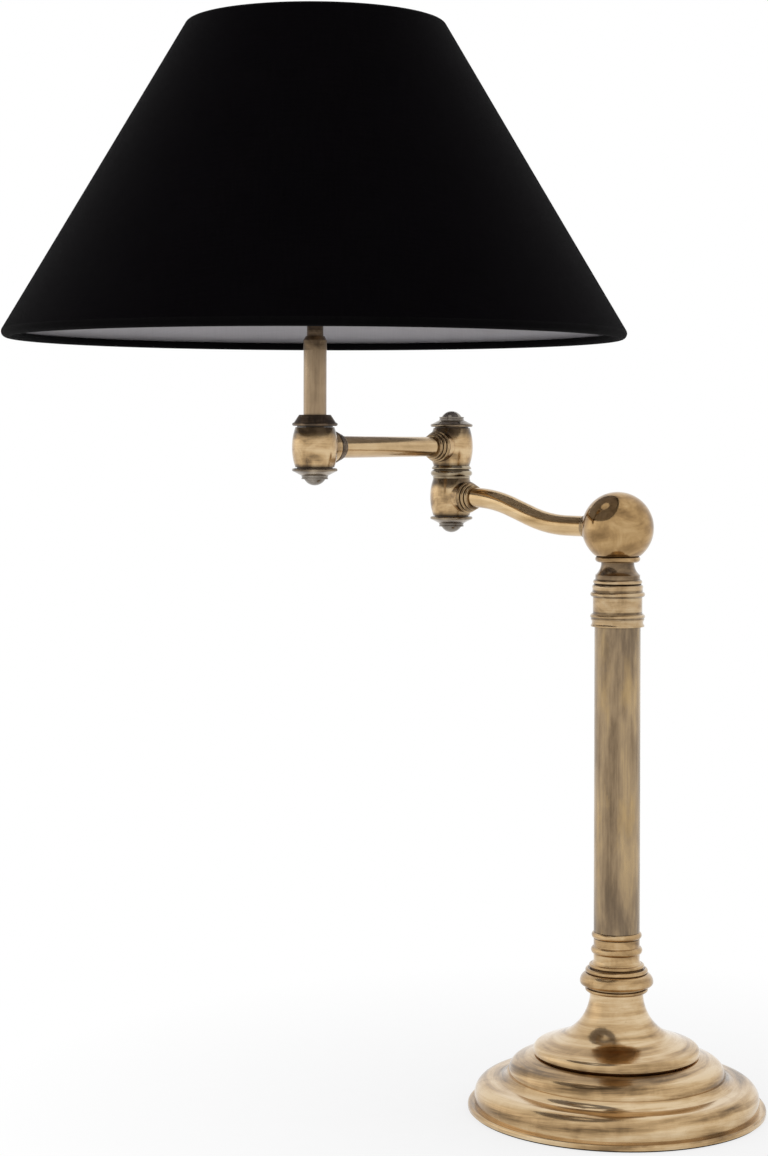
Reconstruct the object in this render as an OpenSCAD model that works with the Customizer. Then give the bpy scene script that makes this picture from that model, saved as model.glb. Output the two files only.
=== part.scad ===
// Swing arm table lamp: a turned column on a stepped round foot, two stacked
// swing arms and a cone shade. Millimetres, +Z up. The origin is on the column
// axis at the underside of the foot, and the lamp stands in its rest pose.

/* [Foot] */
// Diameter of the bottom rim
foot_d = 191; // [170:1:220]
// Height of the foot up to the turned collar
foot_h = 76; // [75:0.2:84]
// Thickness of the felt pad
felt_t = 1.2; // [0.8:0.1:2]
// Height of the bottom rim above the felt
rim_h = 3.2; // [2.8:0.1:5]
// Width of the bottom rim beyond the lowest step
rim_w = 4.3; // [3:0.1:7]
// Height of the lowest step above the rim
step_low_h = 14.2; // [12.5:0.1:16]
// Rounding of the lowest step
step_low_round = 9.3; // [7:0.1:10]
// Slope of the lowest tread in degrees
low_slope = 6.5; // [0:0.5:10]
// Width of the lowest tread
tread_low = 22; // [19:0.5:25]
// Height of the middle step above the lowest one
step_mid_h = 13.8; // [11.5:0.1:14.4]
// Rounding of the middle step
step_mid_round = 7.8; // [6:0.1:9]
// Width of the middle tread
tread_mid = 15.7; // [14:0.1:19]
// Radius of the hollow between the two steps
cavetto_r = 9; // [7:0.1:10]
// Width of the ledge above that hollow
quirk_w = 1; // [0.8:0.1:1.6]
// Rounding at the edge of the top plate
plate_round = 4.4; // [3.6:0.1:5.4]
// Height of the square edge of the top plate
plate_edge = 1; // [0.6:0.1:1.4]
// Height of the groove under the edge of the top plate
lip_gap = 0.7; // [0.5:0.1:1.2]
// Slope of the top plate in degrees
plate_slope = 20; // [18:0.5:21]
// Radius of the foot neck
foot_neck_r = 17; // [16:0.1:18]
// Radius of the cove under the neck
cove_r = 31; // [28:0.1:31.8]
// Wall of the spun shell
shell_t = 4; // [3:0.1:4.6]

/* [Column] */
// Height of the turned foot collar
collar_h = 38.5; // [35:0.1:43]
// Widest radius of the foot collar
collar_r = 23.6; // [21.5:0.1:25]
// Length of the plain column tube
column_len = 196.4; // [150:0.2:260]
// Diameter of the column tube
column_d = 29.6; // [27:0.1:31]
// Wall of the column tube
column_t = 1.5; // [1.2:0.1:2]
// Height of the capital
capital_h = 22.2; // [20.5:0.1:26]
// Height of the swivel seat
seat_h = 8; // [7:0.1:10]
// Radius of the hollow tie rod
rod_r = 5; // [4.5:0.1:5.5]
// Radius of the wireway through rods and spindles
wire_r = 3.2; // [2.8:0.1:3.5]

/* [Swivel and ball] */
// Height of the concave neck with its cup ring
neck_h = 15.2; // [13.5:0.1:18]
// Smallest radius of the concave neck
neck_r = 10.6; // [9.6:0.1:11.5]
// Radius of the cup ring under the ball
cup_r = 14.5; // [13.5:0.1:15.5]
// Diameter of the ball
ball_d = 46.4; // [43:0.2:50]
// Radius of the swivel journal
journal_r = 7; // [6.4:0.1:7.5]

/* [Arms] */
// Distance from the column axis to the elbow axis
lower_len = 160; // [150:1:200]
// Distance from the elbow axis to the stem axis
upper_len = 152.5; // [125:0.5:200]
// Heading of the lower arm in the rest pose, in degrees
lower_yaw = 130.45; // [90:0.05:180]
// Heading of the upper arm in the rest pose, in degrees
upper_yaw = 233.13; // [190:0.01:260]
// Diameter of the lower arm tube
lower_d = 13.5; // [12.6:0.1:14.2]
// Diameter of the upper arm tube at the elbow
upper_d = 13.4; // [12.6:0.1:14.2]
// Diameter of the upper arm tube at the stem end
upper_end_d = 14.4; // [13:0.1:15]
// Wall of the arm tubes
arm_t = 1.8; // [1.4:0.1:2.2]
// Rise of the S-bend
arm_rise = 16.5; // [14:0.1:20]
// Radius of both bends
bend_r = 122; // [95:1:140]
// Angle of both bends in degrees
bend_a = 17.3; // [14.5:0.1:19]
// Length of the stepped collars
ring_len = 8.6; // [7.4:0.1:10]
// Largest radius of the stepped collars
ring_r = 10.8; // [9.9:0.1:11.6]

/* [Knuckles] */
// Height of a barrel
barrel_h = 25.9; // [24.5:0.1:28]
// Radius of a barrel at its middle
barrel_r = 14.8; // [14.2:0.1:16]
// Radius of a barrel at its ends
barrel_end_r = 12.6; // [12:0.1:13.4]
// Radius of the hollow inside a barrel
hollow_r = 9.4; // [9:0.1:9.8]
// Thickness of the bearing wall in a barrel
wall_t = 5.6; // [5:0.1:6.2]
// Height of the ring stack between the elbow barrels
stack_h = 9; // [8.4:0.1:11]
// Radius of the elbow and stem spindles
spindle_r = 6; // [5.4:0.1:6.5]
// Radius of the flanges
flange_r = 14.7; // [13.8:0.1:15.8]
// Thickness of the flange edge
flange_t = 2.2; // [1.6:0.05:2.6]
// Height of the flange cone
cone_h = 2.4; // [1.8:0.1:3]
// Radius of the cap bands
cap_r = 8.6; // [7.6:0.1:9.4]
// Height of the cap bands
cap_h = 2.4; // [1.8:0.1:3]
// Height of the cap domes
dome_h = 4.1; // [3.2:0.1:4.8]

/* [Stem and lampholder] */
// Height of the bell flange on the stem
bell_h = 7.8; // [7:0.1:9]
// Length of the stem tube above the bell
stem_len = 41.6; // [36:0.2:60]
// Diameter of the stem tube
stem_d = 14.9; // [14.6:0.1:16]
// Height of the sleeve on the stem
sleeve_h = 9; // [8:0.1:12]
// Length of bare nipple between sleeve and lampholder
nipple_bare = 7; // [5:0.1:10]
// Radius of the lampholder
holder_r = 20; // [19.4:0.1:21.5]
// Height of the lampholder cap
holder_cap_h = 19; // [18:0.1:22]
// Height of the lampholder shell
holder_shell_h = 40; // [38:0.2:46]
// Bore radius of the screw socket
socket_r = 13.5; // [13.2:0.1:13.8]
// Radius of the switch shaft
shaft_r = 2.5; // [2:0.1:3]
// Radius of the switch knob
knob_r = 6.5; // [5.5:0.1:8]
// Length of the switch knob
knob_len = 10; // [8:0.2:14]

/* [Shade] */
// Largest diameter of the shade
shade_d = 400; // [340:2:460]
// Largest diameter of the top rim
shade_top_d = 169; // [145:1:205]
// Height of the shade
shade_h = 203.4; // [180:0.2:240]
// Height of the fitter ring above the lower rim
fitter_z = 52.8; // [46:0.2:60]
// Thickness of the fabric skin
skin_t = 0.9; // [0.7:0.1:1.2]
// Thickness of the lining
lining_t = 0.7; // [0.5:0.1:0.9]
// Radius of the rolled hem at the lower rim
hem_low_r = 3.7; // [3.3:0.1:4.6]
// Radius of the rolled hem at the top rim
hem_top_r = 3; // [2.8:0.1:3.8]
// Radius of the frame rings
wire_ring_r = 1.6; // [1.2:0.1:1.8]
// Radius of the spider arms
arm_wire_r = 1.3; // [1:0.1:1.5]
// Outer radius of the fitter ring
fitter_r = 33; // [31:0.5:38]
// Width of the ring nut that clamps the fitter ring
ring_nut_w = 7.8; // [7:0.1:9]
// Height of the ring nut
ring_nut_h = 5; // [4.4:0.1:6]

/* [Fits] */
// Radial gap of screwed and plugged joints
plug_gap = 0.05; // [0.02:0.01:0.1]
// Radial gap of turning shafts
run_gap = 0.05; // [0.02:0.01:0.09]
// Axial gap at the faces of a turning joint
face_gap = 0.1; // [0.05:0.01:0.2]
// Gap around the weight in the foot
weight_gap = 0.5; // [0.3:0.1:1]

/* [Hidden] */
$fn = 96;
brass = "#9a7743";
dull = "#7d6647";
steel = "#8c8e90";

foot_r = foot_d / 2;
column_r = column_d / 2;
ball_r = ball_d / 2;
step3_r = foot_r - rim_w;
step2_r = step3_r - tread_low;
plate_r = step2_r - tread_mid;
rim_z = felt_t + rim_h;
step3_z = rim_z + step_low_h;
step2_z = step3_z + step_mid_h;
cove_end_r = foot_neck_r + cove_r * (1 - sin(plate_slope));
cove_end_z = foot_h - cove_r * cos(plate_slope);
edge_c_r = plate_r - plate_round;
edge_t_r = edge_c_r + plate_round * sin(plate_slope);
edge_t_z = cove_end_z - tan(plate_slope) * (edge_t_r - cove_end_r);
edge_c_z = edge_t_z - plate_round * cos(plate_slope);
lip_z = edge_c_z - plate_edge;
mid_in = plate_r - 2;
mid_in_z = lip_z - lip_gap;
mid_c = [step2_r - step_mid_round, step2_z - step_mid_round];
mid_v = mid_c - [mid_in, mid_in_z];
mid_dir = atan2(mid_v[1], mid_v[0]) + asin(step_mid_round / norm(mid_v));
mid_len = sqrt(mid_v * mid_v - step_mid_round * step_mid_round);
mid_t = [mid_in, mid_in_z] + mid_len * [cos(mid_dir), sin(mid_dir)];
low_t = [
  step3_r - step_low_round * (1 - sin(low_slope)), step3_z - step_low_round * (1 - cos(low_slope))
];
low_in_z = low_t[1] + tan(low_slope) * (low_t[0] - step2_r);
scoop_a = 60;
scoop_r = step2_r + quirk_w + cavetto_r * (sin(scoop_a) - sin(low_slope));
scoop_c = [
  scoop_r + cavetto_r * sin(low_slope),
  low_t[1] + tan(low_slope) * (low_t[0] - scoop_r) + cavetto_r * cos(low_slope) - 0.12
];
scoop_z = scoop_c[1] + 0.12 - cavetto_r * cos(scoop_a);

// Hollow of the foot and the weight that fills it
hollow3_r = step3_r - shell_t - 1;
hollow3_z = step3_z - shell_t - 0.4;
hollow2_r = step2_r - shell_t - 1;
hollow2_z = step2_z - shell_t;
hollow1_r = plate_r - shell_t - 3;
hollow1_z = lip_z + 1.5;
nut_h = 8;
nut_af = 17;
washer_t = 2;
pocket_z = felt_t + 1.8 + nut_h + washer_t;
pocket_r = 15;
bush_z = rim_z + 5.5;
bush_r = 4;
bush_hole_r = 2.9;

collar_z = foot_h;
column_z = collar_z + collar_h;
capital_z = column_z + column_len;
seat_z = capital_z + capital_h;
seat_top = seat_z + seat_h;
neck_z = seat_top + face_gap;
neck_top = neck_z + neck_h;
ball_z = neck_top + sqrt(pow(ball_r, 2) - pow(cup_r + 0.3, 2));
ball_flat = ball_r - 1.7;
low_z = ball_z + arm_rise;
up_z = low_z + barrel_h + stack_h;
half_h = barrel_h / 2;

lower_r = lower_d / 2;
upper_r = upper_d / 2;
upper_end_r = upper_end_d / 2;
boss_x = barrel_r + 1.2;
boss_r = ring_r - 0.4;
bend_mid = (arm_rise - 2 * bend_r * (1 - cos(bend_a))) / sin(bend_a);
bend_run = 2 * bend_r * sin(bend_a) + bend_mid * cos(bend_a);
tail_len = boss_x + ring_len;
lead_end = lower_len - tail_len - bend_run;
tube_in = hollow_r + 0.8;

barrel_arc = (pow(half_h, 2) + pow(barrel_r - barrel_end_r, 2)) / (2 * (barrel_r - barrel_end_r));
elbow = [lower_len * cos(lower_yaw), lower_len * sin(lower_yaw)];
head = elbow + upper_len * [cos(upper_yaw), sin(upper_yaw)];

bell_z = up_z + half_h + face_gap;
stem_z = bell_z + bell_h - 4;
stem_top = bell_z + bell_h + stem_len;
sleeve_top = stem_top + sleeve_h;
holder_z = sleeve_top + nipple_bare;
shell_z = holder_z + holder_cap_h;
shell_top = shell_z + holder_shell_h;
core_z = holder_z + holder_cap_h - 7;
socket_z = core_z + 24;
switch_z = shell_z + 8;
fit_z = shell_z + 24.5;
stem_r = stem_d / 2;

shade_r = shade_d / 2;
shade_top_r = shade_top_d / 2;
shade_z = fit_z - fitter_z;
low_c = [shade_r - hem_low_r, shade_z + hem_low_r];
top_c = [shade_top_r - hem_top_r, shade_z + shade_h - hem_top_r];
cone_v = top_c - low_c;
cone_u = cone_v / norm(cone_v);
cone_w = [cone_u[1], -cone_u[0]];
cone_k = (hem_low_r - hem_top_r) / norm(cone_v);
cone_n = cone_k * cone_u + sqrt(1 - cone_k * cone_k) * cone_w;

// Shared shapes

// Half-round ring that reaches radius r
module bead(r, z, h) {
  translate([r - h / 2, z]) circle(d = h);
}

// Plain band of radius r between two heights
module band(r, z0, z1) {
  translate([0, z0]) square([r, z1 - z0]);
}

// Round bar between two points
module bar(p, q, r) {
  v = q - p;
  translate(p)
    rotate([0, acos(v[2] / norm(v)), atan2(v[1], v[0])])
      cylinder(r = r, h = norm(v));
}

// Round nut with two tightening flats
module round_nut(r, bore, h) {
  difference() {
    intersection() {
      cylinder(r = r, h = h);
      translate([-r, -r * 0.86, 0]) cube([2 * r, r * 1.72, h]);
    }
    translate([0, 0, -1]) cylinder(r = bore, h = h + 2);
  }
}

// Frame of the lower arm: x runs from the column axis to the elbow
module lower_frame() {
  translate([0, 0, ball_z]) rotate([0, 0, lower_yaw]) children();
}

// Frame of the upper arm: x runs from the elbow to the stem axis
module upper_frame() {
  translate([elbow[0], elbow[1], up_z]) rotate([0, 0, upper_yaw]) children();
}

// Frame on the elbow axis at floor level
module elbow_frame() {
  translate([elbow[0], elbow[1], 0]) children();
}

// Frame on the stem axis at floor level
module head_frame() {
  translate([head[0], head[1], 0]) children();
}

// Barrel with its boss along +x, hollow at the open end below, bearing wall at the top
module barrel(bore, tube) {
  difference() {
    union() {
      rotate_extrude() intersection() {
        translate([barrel_r - barrel_arc, 0]) circle(r = barrel_arc, $fn = 256);
        translate([0, -half_h]) square([barrel_r + 1, barrel_h]);
      }
      rotate([0, 90, 0]) cylinder(r = boss_r, h = boss_x);
    }
    translate([0, 0, -half_h - 1]) cylinder(r = hollow_r, h = barrel_h - wall_t + 1);
    translate([0, 0, -half_h]) cylinder(r = bore, h = barrel_h + 1);
    rotate([0, 90, 0]) cylinder(r = tube + plug_gap, h = boss_x + 1);
  }
}

// Stepped collar along +x: three half-round rings that fall towards the tube
module stepped_collar(tube) {
  step = (ring_r - tube - 1.9) / 2;
  h = ring_len / 3.2;
  rotate([0, 90, 0]) rotate_extrude() difference() {
    union() {
      band(ring_r - h * 0.28, 0, h * 0.5);
      for (i = [0:2]) bead(ring_r - i * step, h * (i + 0.5), h);
      for (i = [0:2]) band(ring_r - i * step - h / 2, h * i, h * (i + 1));
      band(tube + 1, h * 2.9, ring_len);
    }
    band(tube + plug_gap, -1, ring_len + 1);
  }
}

// Flange with a raised seat, a rim and a cone, upwards from z = 0
module flange() {
  seat_t = 0.6;
  edge = flange_t / 2;
  rotate_extrude() difference() {
    union() {
      band(hollow_r - plug_gap, -5, 0);
      band(barrel_end_r - 1, 0, seat_t);
      band(flange_r - edge, seat_t, seat_t + flange_t);
      bead(flange_r, seat_t + edge, flange_t);
      translate([0, seat_t + flange_t])
        polygon([[0, 0], [flange_r - edge, 0], [cap_r + 0.4, cone_h], [0, cone_h]]);
    }
    band(4 + plug_gap, -6, 12);
  }
}

// Cap with a band, a dome and a screwed shank, upwards from z = 0
module cap() {
  dome_r = cap_r - 1.7;
  arc = (dome_r * dome_r + dome_h * dome_h) / (2 * dome_h);
  rotate_extrude() {
    difference() {
      band(cap_r, 0, cap_h);
      translate([cap_r + 0.5, cap_h / 2]) circle(r = 0.75);
    }
    intersection() {
      translate([0, cap_h + dome_h - arc]) circle(r = arc);
      translate([0, cap_h - 0.01]) square([dome_r, dome_h + 1]);
    }
    band(4, -6.5, 0.01);
  }
}

// Foot

module foot_profile() {
  difference() {
    polygon([
      [0, lip_z], [edge_c_r, lip_z], [edge_c_r, edge_c_z], [edge_t_r, edge_t_z],
      [cove_end_r, cove_end_z], [cove_end_r, foot_h], [0, foot_h]
    ]);
    translate([foot_neck_r + cove_r, foot_h]) circle(r = cove_r, $fn = 192);
  }
  intersection() {
    translate([edge_c_r, edge_c_z]) circle(r = plate_round);
    translate([0, lip_z]) square([plate_r + 1, plate_round * 2]);
  }
  band(plate_r, lip_z, edge_c_z);
  band(mid_in, felt_t, lip_z + 0.5);
  polygon([
    [0, felt_t], [mid_c[0], felt_t], mid_c, mid_t,
    [mid_in - 1, mid_in_z - tan(mid_dir)], [0, mid_in_z]
  ]);
  band(step2_r, felt_t, mid_c[1]);
  translate(mid_c) circle(r = step_mid_round);
  polygon([
    [0, felt_t], [step3_r - step_low_round, felt_t],
    [step3_r - step_low_round, step3_z - step_low_round], low_t, [step2_r, low_in_z], [0, low_in_z]
  ]);
  band(step3_r, felt_t, step3_z - step_low_round);
  intersection() {
    translate([step3_r - step_low_round, step3_z - step_low_round]) circle(r = step_low_round);
    translate([0, felt_t]) square([step3_r + 1, step3_z]);
  }
  difference() {
    band(scoop_r + 1, felt_t, scoop_z);
    translate(scoop_c) circle(r = cavetto_r);
  }
  band(foot_r, felt_t, rim_z - 1.6);
  band(foot_r - 1.6, felt_t, rim_z);
  translate([foot_r - 1.6, rim_z - 1.6]) circle(r = 1.6);
}

module hollow_profile() {
  band(hollow3_r, -1, hollow3_z);
  band(hollow2_r, -1, hollow2_z);
  band(hollow1_r, -1, hollow1_z);
  band(rod_r + plug_gap, -1, foot_h + 1);
}

module felt_pad() {
  color("#2f332e") cylinder(r = foot_r - 1.2, h = felt_t);
}

module base_shell() {
  color(brass) difference() {
    rotate_extrude() difference() {
      foot_profile();
      hollow_profile();
    }
    translate([0, 0, bush_z]) rotate([-90, 0, 0]) cylinder(r = bush_r + plug_gap, h = foot_r);
    translate([0, step3_r - 2.4, bush_z])
      rotate([-90, 0, 0]) cylinder(r = bush_r + 1.2 + plug_gap, h = rim_w + 4);
  }
}

module base_weight() {
  color("#3a3a3c") difference() {
    rotate_extrude() difference() {
      union() {
        band(hollow3_r - weight_gap, felt_t, hollow3_z - weight_gap);
        band(hollow2_r - weight_gap, felt_t, hollow2_z);
      }
      band(rod_r + weight_gap, -1, foot_h);
      band(pocket_r, -1, pocket_z);
    }
    translate([-bush_r - 1, 0, 0]) cube([2 * bush_r + 2, foot_r, bush_z + bush_r]);
  }
}

module base_washer() {
  color(steel) translate([0, 0, pocket_z - washer_t]) difference() {
    cylinder(r = pocket_r - 2, h = washer_t);
    translate([0, 0, -1]) cylinder(r = rod_r + plug_gap, h = washer_t + 2);
  }
}

module base_nut() {
  color(steel) translate([0, 0, pocket_z - washer_t - nut_h]) difference() {
    cylinder(d = nut_af / cos(30), h = nut_h, $fn = 6);
    translate([0, 0, -1]) cylinder(r = rod_r + plug_gap, h = nut_h + 2);
  }
}

module cord_bush() {
  color("#1c1b1a") translate([0, 0, bush_z]) rotate([-90, 0, 0]) rotate_extrude() {
    difference() {
      union() {
        band(bush_r, hollow3_r - 1.5, step3_r + 1.6);
        band(bush_r + 1.2, step3_r - 2.4, step3_r + 1.2);
      }
      band(bush_hole_r, 0, foot_r + 10);
    }
  }
}

// Column

module tie_rod() {
  color(steel) translate([0, 0, felt_t + 1]) difference() {
    cylinder(r = rod_r, h = capital_z + 7 - felt_t - 1);
    translate([0, 0, -1]) cylinder(r = wire_r, h = capital_z + 20);
  }
}

module foot_collar() {
  k = collar_h / 38.5;
  swell = 6.2;
  color(brass) translate([0, 0, collar_z]) rotate_extrude() difference() {
    union() {
      band(collar_r - 4.6, 0, 5 * k);
      bead(collar_r - 3.4, 1.5 * k, 2.5 * k);
      band(collar_r - 3, 4.6 * k, 11 * k);
      bead(collar_r, 6.4 * k, 4.6 * k);
      intersection() {
        translate([collar_r - swell, 6.4 * k]) circle(r = swell);
        translate([0, 6.4 * k]) square([collar_r, 5.7 * k]);
      }
      band(collar_r - 4.9, 11 * k, 14.8 * k);
      bead(collar_r - 3.5, 13.6 * k, 3 * k);
      band(collar_r - 7.1, 14 * k, 17.8 * k);
      bead(collar_r - 5.8, 16.7 * k, 2.8 * k);
      polygon([
        [0, 17.4 * k], [collar_r - 7.2, 17.4 * k], [column_r + 0.5, 19 * k], [column_r, 20.2 * k],
        [0, 20.2 * k]
      ]);
      band(column_r, 20 * k, 34 * k);
      bead(column_r + 1.7, 26.7 * k, 5.2 * k);
      bead(column_r + 1.3, 36.3 * k, 4.4 * k);
      band(column_r - 0.8, 33 * k, collar_h);
      band(column_r - column_t - plug_gap, collar_h - 1, collar_h + 8);
    }
    band(rod_r + plug_gap, -1, collar_h + 12);
    band(column_r - column_t - 3, 6, collar_h + 12);
  }
}

module column_tube() {
  color(dull) translate([0, 0, column_z]) difference() {
    cylinder(r = column_r, h = column_len);
    translate([0, 0, -1]) cylinder(r = column_r - column_t, h = column_len + 2);
  }
}

module capital() {
  k = capital_h / 22.2;
  color(brass) translate([0, 0, capital_z]) rotate_extrude() difference() {
    union() {
      band(column_r - column_t - plug_gap, -8, 1);
      difference() {
        band(column_r + 2.4, 0, 6.4 * k);
        translate([column_r + 4.4, 2.6 * k]) circle(r = 2.7);
      }
      band(column_r + 1.9, 5 * k, 8 * k);
      bead(column_r + 2.85, 6.5 * k, 2.6 * k);
      band(column_r + 1.1, 7 * k, 20 * k);
      bead(column_r + 2.8, 20.6 * k, 3.2 * k);
      band(column_r + 1.2, 19 * k, capital_h);
    }
    band(rod_r + plug_gap, -9, 8);
    band(column_r - 3, 8, capital_h + 1);
  }
}

module swivel_seat() {
  k = seat_h / 8;
  color(brass) translate([0, 0, seat_z]) rotate_extrude() difference() {
    union() {
      band(column_r - 3 - plug_gap, -5, 0);
      band(column_r + 1.4, 0, 3.2 * k);
      bead(column_r + 1.6, 3.2 * k, 3.4 * k);
      band(column_r - 0.2, 3 * k, seat_h);
      bead(column_r + 1, 6.4 * k, 3.2 * k);
    }
    band(journal_r + run_gap, -6, seat_h + 1);
    translate([-1, seat_h]) square([column_r + 3, 4]);
  }
}

// Lower arm

module swivel_neck() {
  dz = neck_h - 4.2;
  color(brass) translate([0, 0, neck_z]) rotate_extrude() difference() {
    union() {
      difference() {
        band(column_r - 0.4, 0, dz);
        translate([neck_r + dz * 0.95, dz * 0.98]) circle(r = dz * 0.95);
        translate([neck_r + dz * 0.95, dz * 0.98]) square([20, 20]);
      }
      band(cup_r - 1.6, dz, neck_h);
      band(neck_r, dz - 1, dz + 1);
      bead(cup_r, dz + 2.1, 4.2);
      band(journal_r - plug_gap, 0, neck_h + 6);
      band(journal_r, -seat_h - 5 - 2 * face_gap - 4, 0.01);
    }
    band(wire_r + 0.6, -40, neck_h + 10);
  }
}

module swivel_nut() {
  color(steel) translate([0, 0, seat_z - 5 - face_gap - 3.6])
    round_nut(column_r - 4, journal_r + plug_gap, 3.6);
}

module ball() {
  color(brass) lower_frame() difference() {
    sphere(r = ball_r);
    sphere(r = ball_r - 3.5);
    translate([0, 0, neck_top - ball_z - 20]) cylinder(r = ball_r, h = 20);
    translate([0, 0, -ball_r]) cylinder(r = journal_r, h = ball_r);
    rotate([0, 90, 0]) cylinder(r = lower_r + plug_gap, h = ball_r + 1);
    translate([ball_flat, 0, 0]) rotate([0, 90, 0]) cylinder(r = ball_r, h = 5);
  }
}

module ball_collar() {
  h = ring_len * 0.72;
  color(brass) lower_frame() translate([ball_flat, 0, 0])
    rotate([0, 90, 0]) rotate_extrude() difference() {
      union() {
        band(lower_r + 1.2, 0, h);
        bead(lower_r + 2.4, h * 0.22, h * 0.44);
        bead(lower_r + 1.6, h * 0.76, h * 0.46);
      }
      band(lower_r + plug_gap, -1, h + 1);
    }
}

// Solid path of the S-bent arm at radius r, with a hair-fine ball over each slanted joint
module s_path(r, over) {
  cut = 0.4;
  cut_a = cut / bend_r * 180 / PI;
  mid_x = lead_end + bend_r * sin(bend_a);
  mid_z = bend_r * (1 - cos(bend_a));
  translate([ball_r - 6 - over, 0, 0])
    rotate([0, 90, 0]) cylinder(r = r, h = lead_end - ball_r + 6 + over);
  translate([lead_end, 0, bend_r]) rotate([90, 0, 0]) rotate([0, 0, -90])
    rotate_extrude(angle = bend_a - cut_a) translate([bend_r, 0]) circle(r = r);
  translate([mid_x, 0, mid_z]) {
    sphere(r = r + 0.05);
    rotate([0, 90 - bend_a, 0]) translate([0, 0, cut]) cylinder(r = r, h = bend_mid - 2 * cut);
    rotate([0, 90 - bend_a, 0]) translate([0, 0, bend_mid]) sphere(r = r + 0.05);
  }
  translate([lead_end + bend_run, 0, arm_rise - bend_r]) rotate([90, 0, 0]) rotate([0, 0, 90])
    rotate_extrude(angle = bend_a - cut_a) translate([bend_r, 0]) circle(r = r);
  translate([lead_end + bend_run, 0, arm_rise])
    rotate([0, 90, 0]) cylinder(r = r, h = tail_len - tube_in + over);
}

module lower_tube() {
  color(brass) lower_frame() difference() {
    s_path(lower_r, 0);
    s_path(lower_r - arm_t, 1);
  }
}

module lower_collar() {
  color(brass) lower_frame() translate([lower_len - boss_x, 0, arm_rise])
    rotate([0, 0, 180]) stepped_collar(lower_r);
}

module lower_knuckle() {
  color(brass) lower_frame() translate([lower_len, 0, arm_rise])
    rotate([0, 0, 180]) barrel(spindle_r + plug_gap, lower_r);
}

module lower_flange() {
  color(brass) elbow_frame() translate([0, 0, low_z - half_h]) mirror([0, 0, 1]) flange();
}

module lower_cap() {
  color(brass) elbow_frame()
    translate([0, 0, low_z - half_h - 0.6 - flange_t - cone_h]) mirror([0, 0, 1]) cap();
}

module elbow_spindle() {
  z0 = low_z + half_h - wall_t;
  color(steel) elbow_frame() difference() {
    union() {
      translate([0, 0, z0 - 2.2]) cylinder(r = hollow_r - 1.2, h = 2.2);
      translate([0, 0, z0 - 0.01]) cylinder(r = spindle_r, h = up_z - half_h + wall_t + 3.4 - z0);
    }
    translate([0, 0, z0 - 10]) cylinder(r = wire_r + 0.4, h = 60);
  }
}

module elbow_ring_low() {
  h = stack_h - 3.4;
  step = h * 0.22;
  color(brass) elbow_frame() translate([0, 0, low_z + half_h]) rotate_extrude() difference() {
    union() {
      band(barrel_end_r + 0.3, 0, h);
      bead(barrel_r - 0.4, (h + step) / 2, h - step);
    }
    band(spindle_r + plug_gap, -1, stack_h);
  }
}

module friction_washer() {
  k = stack_h - 3.4;
  color("#2a2521") elbow_frame() translate([0, 0, low_z + half_h + k]) difference() {
    cylinder(r = barrel_end_r - 0.4, h = 0.4);
    translate([0, 0, -1]) cylinder(r = spindle_r + plug_gap, h = 3);
  }
}

module elbow_nut() {
  color(steel) elbow_frame() translate([0, 0, up_z - half_h + wall_t + face_gap])
    round_nut(hollow_r - 1.2, spindle_r + plug_gap, 3);
}

// Upper arm

module elbow_ring_up() {
  h = 3 - face_gap;
  color(brass) elbow_frame() translate([0, 0, up_z - half_h - h]) rotate_extrude() difference() {
    polygon([
      [0, 0], [barrel_end_r + 0.6, 0], [barrel_end_r + 1.1, 0.5], [barrel_end_r + 1.1, 1.1],
      [barrel_end_r - 0.3, h], [0, h]
    ]);
    band(spindle_r + run_gap + 0.3, -1, 4);
  }
}

module upper_knuckle() {
  color(brass) upper_frame() rotate([180, 0, 0]) barrel(spindle_r + run_gap, upper_r);
}

module upper_flange() {
  color(brass) elbow_frame() translate([0, 0, up_z + half_h]) flange();
}

module upper_cap() {
  color(brass) elbow_frame() translate([0, 0, up_z + half_h + 0.6 + flange_t + cone_h]) cap();
}

module upper_collar() {
  color(brass) upper_frame() translate([boss_x, 0, 0]) stepped_collar(upper_r);
}

module upper_tube() {
  x1 = boss_x + ring_len;
  x2 = upper_len - x1;
  bore = min(upper_r, upper_end_r) - arm_t;
  color(brass) upper_frame() rotate([0, 90, 0]) rotate_extrude() difference() {
    polygon([
      [0, tube_in], [upper_r, tube_in], [upper_r, x1], [upper_end_r, x2],
      [upper_end_r, upper_len - tube_in], [0, upper_len - tube_in]
    ]);
    band(bore, 0, upper_len);
  }
}

module end_collar() {
  color(brass) upper_frame() translate([upper_len - boss_x, 0, 0])
    rotate([0, 0, 180]) stepped_collar(upper_end_r);
}

module end_knuckle() {
  color(brass) upper_frame() translate([upper_len, 0, 0])
    rotate([0, 0, 180]) barrel(spindle_r + run_gap, upper_end_r);
}

module end_flange() {
  color(brass) head_frame() translate([0, 0, up_z - half_h]) mirror([0, 0, 1]) flange();
}

module end_cap() {
  color(brass) head_frame()
    translate([0, 0, up_z - half_h - 0.6 - flange_t - cone_h]) mirror([0, 0, 1]) cap();
}

// Stem, lampholder and switch

module stem_spindle() {
  z0 = up_z + half_h - wall_t - face_gap - 3.4;
  color(steel) head_frame() translate([0, 0, z0]) difference() {
    cylinder(r = spindle_r, h = stem_z - z0);
    translate([0, 0, -1]) cylinder(r = wire_r + 0.4, h = 60);
  }
}

module stem_nut() {
  color(steel) head_frame() translate([0, 0, up_z + half_h - wall_t - face_gap - 3])
    round_nut(hollow_r - 1.2, spindle_r + plug_gap, 3);
}

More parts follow.
